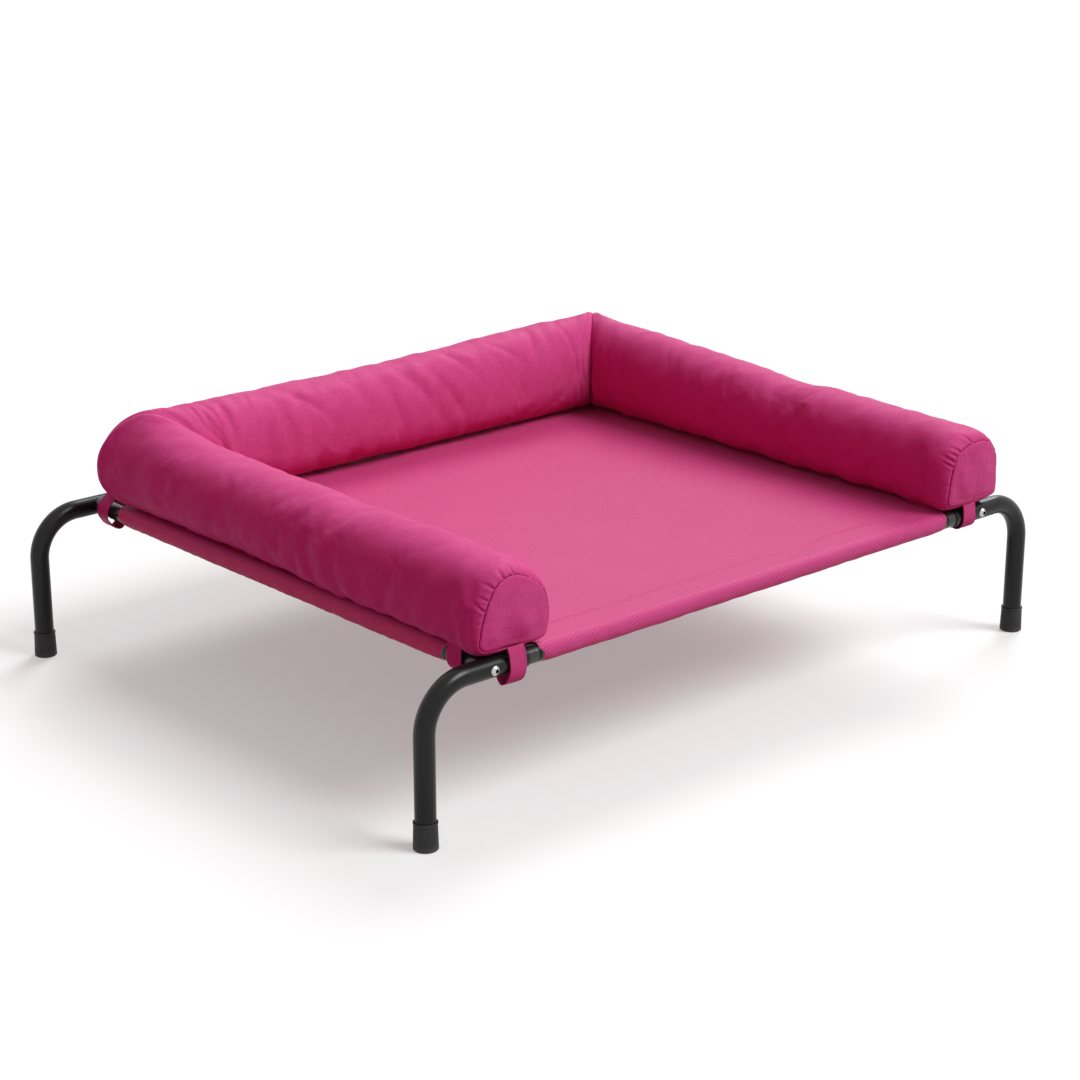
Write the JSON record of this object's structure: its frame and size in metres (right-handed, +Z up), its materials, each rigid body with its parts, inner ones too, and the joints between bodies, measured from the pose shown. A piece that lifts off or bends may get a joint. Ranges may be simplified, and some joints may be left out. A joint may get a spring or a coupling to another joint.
{
  "type": "raised dog cot",
  "caption": "Raised pet cot: a taut mesh deck slung in a bent steel tube frame on legs, with a removable three-sided padded bolster strapped to the tubes.",
  "frame": {"origin": "on the floor, under the middle of the frame", "axes": "+X along the cot's length, to the right as seen from its open front; +Y from the open front to the back bolster; +Z up"},
  "size_m": [1.0778, 0.8392, 0.3375],
  "materials": {
    "powder_coated_tube": "satin",
    "foot_rubber": "matte",
    "zinc_fastener": "satin",
    "deck_mesh": "matte",
    "bolster_fabric": "matte",
    "fibre_stuffing": "matte",
    "strap_tape": "matte"
  },
  "bodies": {
    "frame": {"front_left_leg": "powder_coated_tube", "front_right_leg": "powder_coated_tube", "back_left_leg": "powder_coated_tube", "back_right_leg": "powder_coated_tube", "front_left_foot": "foot_rubber", "front_right_foot": "foot_rubber", "back_left_foot": "foot_rubber", "back_right_foot": "foot_rubber", "front_rail": "powder_coated_tube", "back_rail": "powder_coated_tube", "left_end_rail": "powder_coated_tube", "right_end_rail": "powder_coated_tube", "front_left_nut": "zinc_fastener", "front_right_nut": "zinc_fastener", "back_left_nut": "zinc_fastener", "back_right_nut": "zinc_fastener", "front_left_bolt": "zinc_fastener", "front_right_bolt": "zinc_fastener", "back_left_bolt": "zinc_fastener", "back_right_bolt": "zinc_fastener", "mesh_deck": "deck_mesh", "front_hem": "deck_mesh", "back_hem": "deck_mesh", "left_hem": "deck_mesh", "right_hem": "deck_mesh"},
    "bolster": {"left_arm_cover": "bolster_fabric", "back_bolster_cover": "bolster_fabric", "right_arm_cover": "bolster_fabric", "left_end_panel": "bolster_fabric", "right_end_panel": "bolster_fabric", "left_arm_stuffing": "fibre_stuffing", "back_bolster_stuffing": "fibre_stuffing", "right_arm_stuffing": "fibre_stuffing", "front_left_leg_strap": "strap_tape", "front_right_leg_strap": "strap_tape", "front_left_rail_strap": "strap_tape", "front_right_rail_strap": "strap_tape", "back_left_rail_strap": "strap_tape", "back_right_rail_strap": "strap_tape"}
  },
  "joints": [
    {"name": "bolster_lift", "type": "slide", "parent": "frame", "child": "bolster", "axis": [0, 0, 1], "range_m": [0, 0.25], "deforming": ["front_left_leg_strap", "front_right_leg_strap", "front_left_rail_strap", "front_right_rail_strap", "back_left_rail_strap", "back_right_rail_strap"]}
  ]
}
